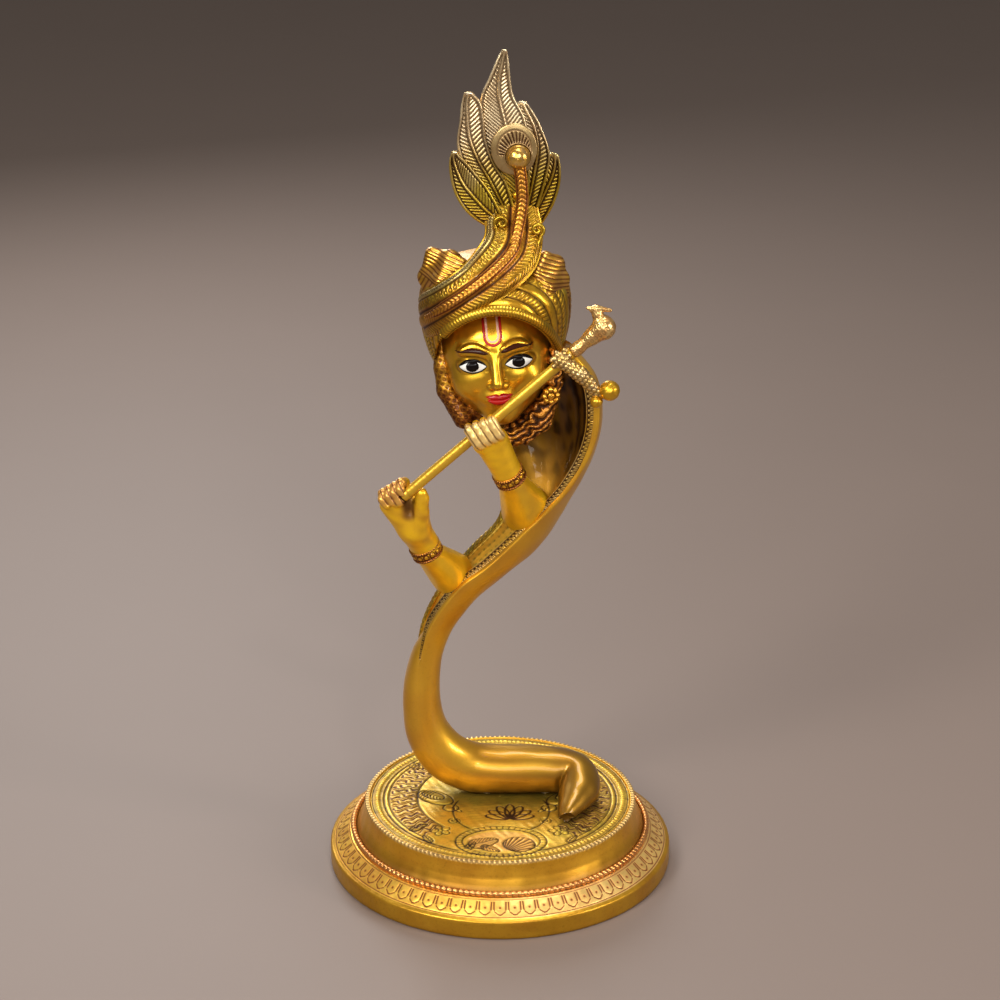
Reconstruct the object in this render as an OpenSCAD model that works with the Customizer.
// Brass flute player on an S-shaped sash: a two-tier round base, a serpentine body that opens into a
// hood, two forearms, a turbaned head with a peacock-feather crest, and a flute that slides in the hands.
// Millimetres. The origin is the centre of the base on the floor, +Z is up and the face looks along -Y.
// "Left" and "right" are as seen from the front.

/* [Base] */
// Radius of the plinth at the floor
base_r = 75; // [73:0.5:80]
// Height of the plinth's upright rim
rim_h = 8.5; // [7:0.5:10]
// Wall of the plinth and drum castings
wall = 3; // [2.5:0.25:3.5]
// Radius of the drum's top edge
drum_top_r = 59.5; // [58:0.5:61]
// Thickness of the engraved top plate
plate_t = 2.6; // [2:0.1:3]

/* [Body] */
// Width of the ornamented rim along both edges of the sash
rim_w = 4.4; // [3:0.2:5]
// Thickness of the border strips above that rim
border_t = 0.9; // [0.6:0.1:1.2]

/* [Head] */
// Sideways tilt of the head, top towards the left
head_tilt = 6.5; // [0:0.5:8]
// Radius of the skull behind the face
skull_r = 23.5; // [22:0.5:24]
// Radius of the turban at its widest
turban_r = 31; // [30:0.5:32]
// Thickness of each feather
feather_t = 2; // [1.6:0.1:2.4]

/* [Flute] */
// Radius of the flute
flute_r = 2.2; // [1.8:0.1:2.4]
// Length of the flute, without its bird
flute_len = 95; // [88:1:98]
// Angle of the flute above the horizon
flute_angle = 42; // [42:1:42]
// Gap all round the flute in both hands
grip_gap = 0.3; // [0.25:0.05:0.5]

/* [Hidden] */
$fn = 64;

brass = "goldenrod";
old_brass = "darkgoldenrod";
copper = "peru";
steel = "lightslategray";

// Base levels
ledge_z = rim_h + 6;
drum_foot_r = base_r - 11.6;
drum_top_z = 28;
rope_r = 1.25;
plate_r = drum_top_r - 2.3;
stud_r = 3;
stud_spots = [[-6, 6], [20, 6]];
washer_t = 1;
nut_t = 5;
plate_low = drum_top_z - plate_t;

// Head
head_at = [-1.5, -2, 234];
jaw_r = 17.5;

// Flute line
flute_y = -31;
flute_from = [-39.6, flute_y, 181.4];
flute_dir = [cos(flute_angle), 0, sin(flute_angle)];
flute_off = [-sin(flute_angle), 0, cos(flute_angle)];
finger_out = [0, -4.7, 0];
grip_r = flute_r + grip_gap;

// Stations of the body from the tail tip to the top of the hood:
// left edge, right edge, [bulge at the back, bulge at the front where negative or hollow where positive]
body_stations = [
    [[32, -24.5, 30.5], [25.5, -26, 30.5], [3, -2.2, 0]],
    [[37.5, -18.5, 32], [25, -21, 31.5], [5, -3.8, 0]],
    [[43.5, -9, 34], [25.5, -10, 33], [8, -5.5, 0]],
    [[43, 4, 36], [26.5, -4, 34.5], [10.5, -7.5, 0]],
    [[34, 14, 37], [23.5, -4.5, 36], [11, -8.5, 0]],
    [[17, 17, 37.5], [15, -4.5, 37], [11.5, -9.5, 0]],
    [[0, 17, 38], [0, -5, 37.5], [11.5, -10, 0]],
    [[-13, 16.5, 39.5], [-14, -5, 38.5], [12, -10.5, 0]],
    [[-24, 15.5, 46], [-25, -5.5, 45], [11.5, -10.5, 0]],
    [[-31, 14, 57], [-32, -5.5, 57], [10, -9.5, 0]],
    [[-34, 12, 70], [-34.5, -6, 70], [8.8, -8, 0]],
    [[-34.5, 10.5, 84], [-34.5, -6, 84], [8.5, -7, 0]],
    [[-35, 8.5, 98], [-33.5, -6.5, 100], [10, -3, 0]],
    [[-31.5, 7.5, 114], [-28.5, -8, 115], [11.5, 3, 0]],
    [[-22, 8, 131.5], [-17, -10, 131.5], [13, 7, 0]],
    [[-12, 8.5, 144], [-5, -11, 141.5], [14, 9.5, 0]],
    [[-1, 9, 156], [9, -12, 156], [16, 12, 0]],
    [[1, 10, 169], [20, -13, 167.5], [19, 15.5, 0]],
    [[-3, 11, 182], [30, -14.5, 180], [22, 18.5, 0]],
    [[-11, 13, 196], [38, -15, 196], [24, 20.8, 0]],
    [[-18, 14, 211], [40.5, -15, 211], [24.5, 21.3, 0]],
    [[-19, 15, 225], [38, -13, 226], [22, 19, 0]],
    [[-14, 15, 236], [28, -8, 238], [17, 14.2, 0]]
];
border_from = 11.8;
border_to = 21.6;

// Stations of the turban's sash from the back of the left side up to the crest: upper edge, lower edge
sash_stations = [
    [[-26, 16, 254], [-23, 13, 236], [1, -3, 0]],
    [[-31.5, 3, 257], [-27.5, -2, 239], [1, -3, 0]],
    [[-31, -8, 262], [-25.5, -15, 244], [1, -3.2, 0]],
    [[-25, -17, 268], [-18.5, -23.5, 251], [1, -3.4, 0]],
    [[-16.5, -19, 274.5], [-8.5, -27, 258.5], [1, -3.6, 0]],
    [[-10.5, -14, 280], [4, -25, 266], [1, -3.6, 0]],
    [[-6.5, -8, 285], [14.5, -15.5, 274], [1, -3.6, 0]],
    [[-6, -3.6, 290.5], [18, -5.4, 284.5], [1, -3.4, 0]],
    [[-3.5, 0.8, 298], [16.5, 0.4, 294.5], [1, -2.6, 0]]
];

// Small functions
function unit(v) = v / norm(v);
function clamp(x, low, high) = min(max(x, low), high);
function on_flute(s) = flute_from + flute_dir * s;

// A Catmull-Rom curve through the stations of a sweep
function spline(s, t) =
    let (n = len(s) - 1, i = min(floor(t), n - 1), f = t - i,
         a = s[max(i - 1, 0)], b = s[i], c = s[i + 1], d = s[min(i + 2, n)])
    0.5 * (2 * b + (c - a) * f + (2 * a - 5 * b + 4 * c - d) * f * f
        + (3 * b - a - 3 * c + d) * f * f * f);

// The rim between the back and the front surface is wide only where the section is hollow
function rim_at(g) = 1.2 + (rim_w - 1.2) * clamp((g + 5) / 8, 0, 1);

function frame_at(s, t) =
    let (n = len(s) - 1, p = spline(s, t),
         p0 = spline(s, max(t - 0.05, 0)), p1 = spline(s, min(t + 0.05, n)),
         half = (p[1] - p[0]) / 2,
         along = unit(p1[0] + p1[1] - p0[0] - p0[1]),
         back = unit(cross(along, half)))
    [(p[0] + p[1]) / 2, half, back, along, p[2]];

// Lifts points that would sink below a level, so that the underside lies flat just above it
function above(p, low) = let (d = p[2] - low) [p[0], p[1], low + (d + sqrt(d * d + 1)) / 2];

function ring(s, t, m, low, rim) =
    let (f = frame_at(s, t), mid = f[0], half = f[1], back = f[2], h = f[4][0], g = f[4][1],
         k = 1 - min(rim ? rim_at(g) : 0.8, norm(half) * 0.45) / norm(half))
    concat(
        [for (i = [0:m]) let (u = -90 + 180 * i / m) above(mid + half * sin(u) + back * (h * cos(u)), low)],
        [for (i = [0:m]) let (u = 90 - 180 * i / m) above(mid + half * (k * sin(u)) + back * (g * cos(u)), low)]);

function middle(ring) = [for (p = ring) 1] * ring / len(ring);

// Closed skin over rings of equal point counts, with a fan over each end
module skin(rings) {
    m = len(rings[0]);
    n = len(rings);
    first = n * m;
    polyhedron(
        points = concat([for (r = rings) each r], [middle(rings[0]), middle(rings[n - 1])]),
        faces = concat(
            [for (j = [0:m - 1]) [(j + 1) % m, j, first]],
            [for (i = [0:n - 2]) for (j = [0:m - 1]) let (a = i * m + j, b = i * m + (j + 1) % m)
                each [[a, b, b + m], [a, b + m, a + m]]],
            [for (j = [0:m - 1]) [(n - 1) * m + j, (n - 1) * m + (j + 1) % m, first + 1]]));
}

module sweep(s, from, to, steps, m, low = -1000, rim = true) {
    skin([for (i = [0:steps]) ring(s, from + (to - from) * i / steps, m, low, rim)]);
}

// A flat strip lying on the rim of one edge: side -1 is the left edge, 1 the right edge
function strip_ring(t, side) =
    let (f = frame_at(body_stations, t), across = unit(f[1]), up = -f[2],
         w = rim_at(f[4][1]), at = f[0] + across * side * (norm(f[1]) - w / 2), e = w / 2 - 0.3)
    [at - across * e, at + across * e, at + across * e + up * border_t, at - across * e + up * border_t];

module strip(side) {
    steps = 60;
    skin([for (i = [0:steps]) strip_ring(border_from + (border_to - border_from) * i / steps, side)]);
}

// Puts a child that stands on +Z along the line from p towards q
module aim(p, q) {
    d = q - p;
    translate(p) rotate([0, acos(d[2] / norm(d)), atan2(d[1], d[0])]) children();
}

module cone(p, q, r1, r2) {
    aim(p, q) cylinder(h = norm(q - p), r1 = r1, r2 = r2);
}

module ball(p, r, fn = 24) {
    translate(p) sphere(r, $fn = fn);
}

// A rounded limb between two balls, for hands and other soft shapes
module blob(p, r1, q, r2, fn = 20) {
    hull() {
        ball(p, r1, fn);
        ball(q, r2, fn);
    }
}

module on_head() {
    translate(head_at) rotate([0, -head_tilt, 0]) children();
}

// Base
module plinth() {
    color(brass) rotate_extrude($fn = 128) polygon([
        [base_r - wall - 0.5, 0], [base_r - 0.8, 0], [base_r, 0.8], [base_r, rim_h - 0.6],
        [base_r - 0.7, rim_h], [base_r - 1.6, rim_h + 0.3], [drum_foot_r + 2.8, ledge_z],
        [drum_foot_r + 0.1, ledge_z + 0.1], [drum_foot_r + 0.1, ledge_z - wall],
        [drum_foot_r + 2.4, ledge_z - wall - 0.4], [base_r - wall - 0.5, rim_h - wall + 1.4]]);
}

module rope_ring() {
    color(copper) rotate_extrude($fn = 128)
        translate([drum_foot_r + rope_r + 0.05, ledge_z + rope_r + 0.12]) circle(rope_r, $fn = 24);
}

module drum() {
    foot_z = ledge_z - wall - 3.2;
    color(brass) rotate_extrude($fn = 128) polygon([
        [drum_foot_r - wall, foot_z], [drum_foot_r + 1.6, foot_z], [drum_foot_r + 1.6, ledge_z - wall - 0.6],
        [drum_foot_r, ledge_z - wall - 0.5], [drum_foot_r, ledge_z + 1], [drum_foot_r - 0.9, ledge_z + 2.6],
        [drum_top_r + 1.2, 21], [drum_top_r + 0.2, 24.4], [drum_top_r, 26.4], [drum_top_r, drum_top_z - 0.4],
        [drum_top_r - 0.4, drum_top_z], [plate_r + 0.1, drum_top_z], [plate_r + 0.1, plate_low],
        [plate_r - 4, plate_low], [plate_r - 4, plate_low - 2], [drum_top_r - wall + 0.6, plate_low - 4.4],
        [drum_foot_r - wall, ledge_z + 1.5]]);
}

module top_plate() {
    color(old_brass) difference() {
        translate([0, 0, plate_low]) cylinder(h = plate_t, r = plate_r, $fn = 128);
        for (s = stud_spots) translate([s[0], s[1], plate_low - 1]) cylinder(h = plate_t + 2, r = stud_r + 0.2);
    }
}

module stud_pair() {
    color(steel) for (s = stud_spots)
        translate([s[0], s[1], plate_low - washer_t - nut_t - 1.5]) cylinder(h = 20, r = stud_r);
}

module washer_pair() {
    color(steel) for (s = stud_spots) translate([s[0], s[1], plate_low - washer_t]) difference() {
        cylinder(h = washer_t, r = 6.5);
        translate([0, 0, -1]) cylinder(h = washer_t + 2, r = stud_r + 0.2);
    }
}

module nut_pair() {
    color(steel) for (s = stud_spots) translate([s[0], s[1], plate_low - washer_t - nut_t]) difference() {
        cylinder(h = nut_t, r = 5.8, $fn = 6);
        translate([0, 0, -1]) cylinder(h = nut_t + 2, r = stud_r + 0.02);
    }
}

// Body
module body() {
    color(brass) sweep(body_stations, 0, 22, 88, 12, drum_top_z);
}

module right_border() {
    color(old_brass) strip(1);
}

module left_border() {
    color(old_brass) strip(-1);
}

// Forearms
lower_root = [-21, 0, 135];
lower_wrist = [-29.9, -17, 150.8];
lower_palm = [-39.6, -25, 174.9];
upper_root = [10.5, -2, 164.5];
upper_flare = [15.5, -8, 171];
upper_wrist = [4.8, -22, 185.6];
upper_palm = [-3.7, -30, 204.8];
wrist_r = 5.7;
bangle_r = 6.2;

module sleeve(root, wrist, r) {
    cone(root, wrist, r, wrist_r);
    ball(root, r, 64);
}

module lower_sleeve() {
    color(brass) sleeve(lower_root, lower_wrist, 9.4);
}

module upper_sleeve() {
    color(brass) {
        sleeve(upper_root, upper_wrist, 10.6);
        cone(upper_flare, upper_root + (upper_wrist - upper_root) * 0.75, 5, 4.4);
        ball(upper_flare, 5.05, 48);
    }
}

module bangle(wrist, palm) {
    rings = [0.9, 4.7];
    color(copper) aim(wrist, palm) {
        cylinder(h = 5.6, r = bangle_r);
        for (z = rings) translate([0, 0, z]) rotate_extrude() translate([bangle_r, 0]) circle(0.8, $fn = 20);
    }
}

module lower_bangle() {
    bangle(lower_wrist, lower_palm);
}

module upper_bangle() {
    bangle(upper_wrist, upper_palm);
}

module grip_bore(from, to) {
    aim(on_flute(from), on_flute(to)) cylinder(h = to - from, r = grip_r, $fn = 48);
}

module lower_hand() {
    color(brass) difference() {
        union() {
            hull() {
                ball(lower_wrist + (lower_palm - lower_wrist) * 0.28, 5.9);
                ball([-45, -26, 177], 5);
                ball([-34, -25, 171], 5.2);
            }
            for (i = [0:3]) blob([-48.3 + 2.4 * i, -31, 180.4 + 1.5 * i], 2.1,
                [-45.8 + 2.4 * i, -24, 180.6 + 1.5 * i], 2.4);
            blob([-33, -27, 171], 3.2, [-31.9, -30.5, 182.8], 2.6);
            ball(on_flute(-2.6), 2.9);
        }
        grip_bore(-0.5, 30);
    }
}

module upper_hand() {
    color(brass) difference() {
        union() {
            hull() {
                ball(upper_wrist + (upper_palm - upper_wrist) * 0.3, 5.9);
                ball([-6.6, -30.5, 205.4], 3.8);
                ball([-1.6, -30.5, 207.6], 4.4);
            }
            for (i = [0:3]) blob(on_flute(39.6 + 2.8 * i) - flute_off * (1.6 + 0.8 * i) + finger_out, 1.9,
                on_flute(40.6 + 3.1 * i) + flute_off * (5.2 - 1.2 * i) + finger_out, 1.9);
        }
        grip_bore(30, 70);
    }
}

// Head
module head() {
    color(brass) on_head() {
        hull() {
            ball([0, 2, 3], skull_r, 40);
            ball([0, -5, -10], jaw_r, 32);
            ball([0, -13, -20], 7, 24);
        }
        blob([0, -22, 2], 2, [0, -27.5, -6], 2.8, 16);
    }
}

module head_dowel() {
    color(steel) cone([2, 14, 221], [20, 16.5, 213], 4, 4);
}

module left_hair() {
    color(old_brass) {
        blob([-23.8, -3.5, 240], 3.6, [-22.4, -8, 222], 4.2);
        blob([-22.4, -8, 222], 4.2, [-14.8, -12.5, 208.6], 4.4);
    }
}

module right_hair() {
    color(old_brass) {
        blob([23, -8, 236], 3.4, [19.5, -9, 217], 4.8);
        blob([19.5, -9, 217], 4.8, [15.5, -9.5, 207.5], 5.8);
        blob([15.5, -9.5, 207.5], 5.8, [6, -11, 202], 5);
    }
}

module earring() {
    color(brass) aim([20.5, -13.6, 220], [21.5, -20, 219.6]) {
        cylinder(h = 2, r = 3.4);
        translate([0, 0, 2]) rotate_extrude() translate([2.6, 0]) circle(0.8, $fn = 20);
        translate([0, 0, 2]) sphere(1.3, $fn = 24);
    }
}

// A pointed oval of given length and width in the plane y = 0, thick towards +Y
module lens(length, width, t) {
    r = (length * length + width * width) / (4 * width);
    rotate([90, 0, 0]) translate([0, 0, -t]) linear_extrude(t) intersection() {
        translate([0, r - width / 2]) circle(r, $fn = 240);
        translate([0, width / 2 - r]) circle(r, $fn = 240);
    }
}

eye_spots = [-9.4, 9.4];
eye_level = 1.5;

module eye_whites() {
    color("ivory") on_head() for (x = eye_spots)
        translate([x, -23.2, eye_level]) rotate([0, 0, x * 2.2]) lens(11, 5, 4);
}

module irises() {
    color("black") on_head() for (x = eye_spots)
        translate([x, -23.6, eye_level]) rotate([0, 0, x * 2.2]) rotate([-90, 0, 0]) cylinder(h = 4, r = 2.3);
}

module eyebrows() {
    color("saddlebrown") on_head() for (x = eye_spots)
        translate([x, -22.9, eye_level + 6.4]) rotate([0, 0, x * 2.2]) lens(13.5, 1.9, 4);
}

module lips() {
    color("firebrick") on_head() translate([0, -24, -12.6]) lens(11.5, 4.6, 5);
}

module forehead_mark() {
    color("firebrick") on_head() translate([0, -24, 15.5]) rotate([-90, 0, 0]) linear_extrude(5)
        difference() {
            union() {
                circle(4);
                translate([-4, -6]) square([8, 6]);
            }
            circle(2.2);
            translate([-2.2, -7]) square([4.4, 7]);
        }
}

// Turban
module turban() {
    face_r = skull_r + 1.2;
    color(brass) difference() {
        translate([-2, 3, 0]) rotate_extrude() polygon([
            [0, 226], [turban_r - 8, 226], [turban_r - 4, 236], [turban_r - 0.8, 246], [turban_r, 254],
            [turban_r - 1.6, 262], [turban_r - 6, 269], [turban_r - 15, 273.5], [0, 275]]);
        on_head() {
            translate([0, 2, 3]) sphere(skull_r);
            rotate([90, 0, 0]) cylinder(h = 60, r = face_r);
            translate([0, 2, -40]) cylinder(h = 43, r = skull_r);
        }
    }
}

module sash() {
    color(old_brass) sweep(sash_stations, 0, 8, 40, 8, -1000, false);
}

module brow_band() {
    color(old_brass) for (a = [-50:20:90])
        hull() for (b = [a, a + 20]) on_head() translate(
            [25.2 * sin(b), -25 + 19.4 * pow(1 - cos(min(abs(b), 95)), 1.3), 25.2 * cos(b) + 0.5])
                sphere(2.4, $fn = 16);
}

module left_fan() {
    color(copper) hull() {
        ball([-27.6, -1, 275.6], 2.9, 20);
        ball([-29.8, -1, 266], 3, 20);
        ball([-28.6, -4, 261.5], 3, 20);
        ball([-20, -4, 274.4], 2.8, 20);
        ball([-15.5, -7, 272.8], 2.4, 20);
        ball([-23.5, -10, 266.5], 2.4, 20);
    }
}

module right_fan() {
    color(copper) hull() {
        ball([18.4, -4, 275], 2.6, 20);
        ball([22.6, -2, 271.8], 2.8, 20);
        ball([25, -2, 265.5], 3, 20);
        ball([25.4, -3, 259], 3, 20);
        ball([18.5, -13, 264.5], 2.6, 20);
        ball([15, -11, 270.5], 2.4, 20);
    }
}

module crest_pin() {
    color(steel) translate([7, 1, 264]) cylinder(h = 30, r = 2.4);
}

// A feather blade: a lens from its root to its tip in the plane y, thick towards the back
module feather(root, tip, width, y) {
    d = tip - root;
    color(old_brass) translate([(root[0] + tip[0]) / 2, y, (root[1] + tip[1]) / 2])
        rotate([0, -atan2(d[1], d[0]), 0]) lens(norm(d), width, feather_t);
}

module centre_feather() {
    feather([9, 285], [0.8, 358], 19, 1);
}

module left_upper_feather() {
    feather([7, 284], [-12.3, 341], 19, 1 - feather_t);
}

module left_lower_feather() {
    feather([9, 284], [-18.6, 320], 20, 1 - 2 * feather_t);
}

module right_upper_feather() {
    feather([7.5, 283], [11.5, 337], 19, 1 + feather_t);
}

module right_lower_feather() {
    feather([6, 282], [23.5, 316], 19, 1 + 2 * feather_t);
}

boss_at = [7.2, -7.4, 317];

module eye_disc() {
    color(old_brass) translate([0, 1 - 2 * feather_t, 0]) rotate([90, 0, 0]) linear_extrude(1.8) hull() {
        translate([3.8, 322]) circle(7.8);
        translate([7.6, 311]) circle(4);
    }
}

module eye_boss() {
    color(brass) translate(boss_at) sphere(4.6);
}

module crest_stem() {
    color(copper) {
        blob([7.8, -6.2, 313], 1.6, [8.8, -6.4, 297], 2.2, 16);
        blob([8.8, -6.4, 297], 2.2, [7.2, -11.5, 281], 2.2, 16);
        blob([7.2, -11.5, 281], 2.2, [-2.5, -21, 269], 2.2, 16);
        blob([-2.5, -21, 269], 2.2, [-15, -23.8, 260.5], 2, 16);
    }
}

// Flute
module flute_tube() {
    color(brass) aim(on_flute(0), on_flute(1)) difference() {
        cylinder(h = flute_len, r = flute_r);
        translate([0, 0, -1]) cylinder(h = 7, r = flute_r - 1);
    }
}

module flute_bird() {
    neck = on_flute(flute_len);
    breast = on_flute(flute_len + 13.5);
    color(brass) {
        cone(neck, breast, flute_r + 0.3, 4.2);
        ball(breast, 4.8, 32);
        blob(breast + [-1.6, 0, 3], 2.4, breast + [-3.2, 0, 7], 1.9, 16);
        blob(breast + [-3.2, 0, 7], 1.9, breast + [-6, 0, 7.8], 0.9, 16);
        blob(breast + [-3.2, 0, 7.4], 1.7, breast + [2.4, 0, 6.6], 0.9, 16);
    }
}

tassel_from = on_flute(87) + [-1, -4.7, 2];
tassel_to = tassel_from + [15, 1, -13.5];

module tassel() {
    color(old_brass) hull() {
        ball(tassel_from, 2.4);
        ball(tassel_from * 0.55 + tassel_to * 0.45, 3.6);
        ball(tassel_to, 2.6);
    }
}

module tassel_balls() {
    color(brass) {
        ball(tassel_to + [4.8, -0.4, 0.6], 4.2, 32);
        ball(tassel_to + [-0.4, -0.6, -4], 2.6, 32);
    }
}

plinth();
rope_ring();
drum();
top_plate();
stud_pair();
washer_pair();
nut_pair();
body();
right_border();
left_border();
lower_sleeve();
lower_bangle();
lower_hand();
upper_sleeve();
upper_bangle();
upper_hand();
head();
head_dowel();
left_hair();
right_hair();
earring();
eye_whites();
irises();
eyebrows();
lips();
forehead_mark();
turban();
sash();
brow_band();
left_fan();
right_fan();
crest_pin();
centre_feather();
left_upper_feather();
left_lower_feather();
right_upper_feather();
right_lower_feather();
eye_disc();
eye_boss();
crest_stem();
flute_tube();
flute_bird();
tassel();
tassel_balls();
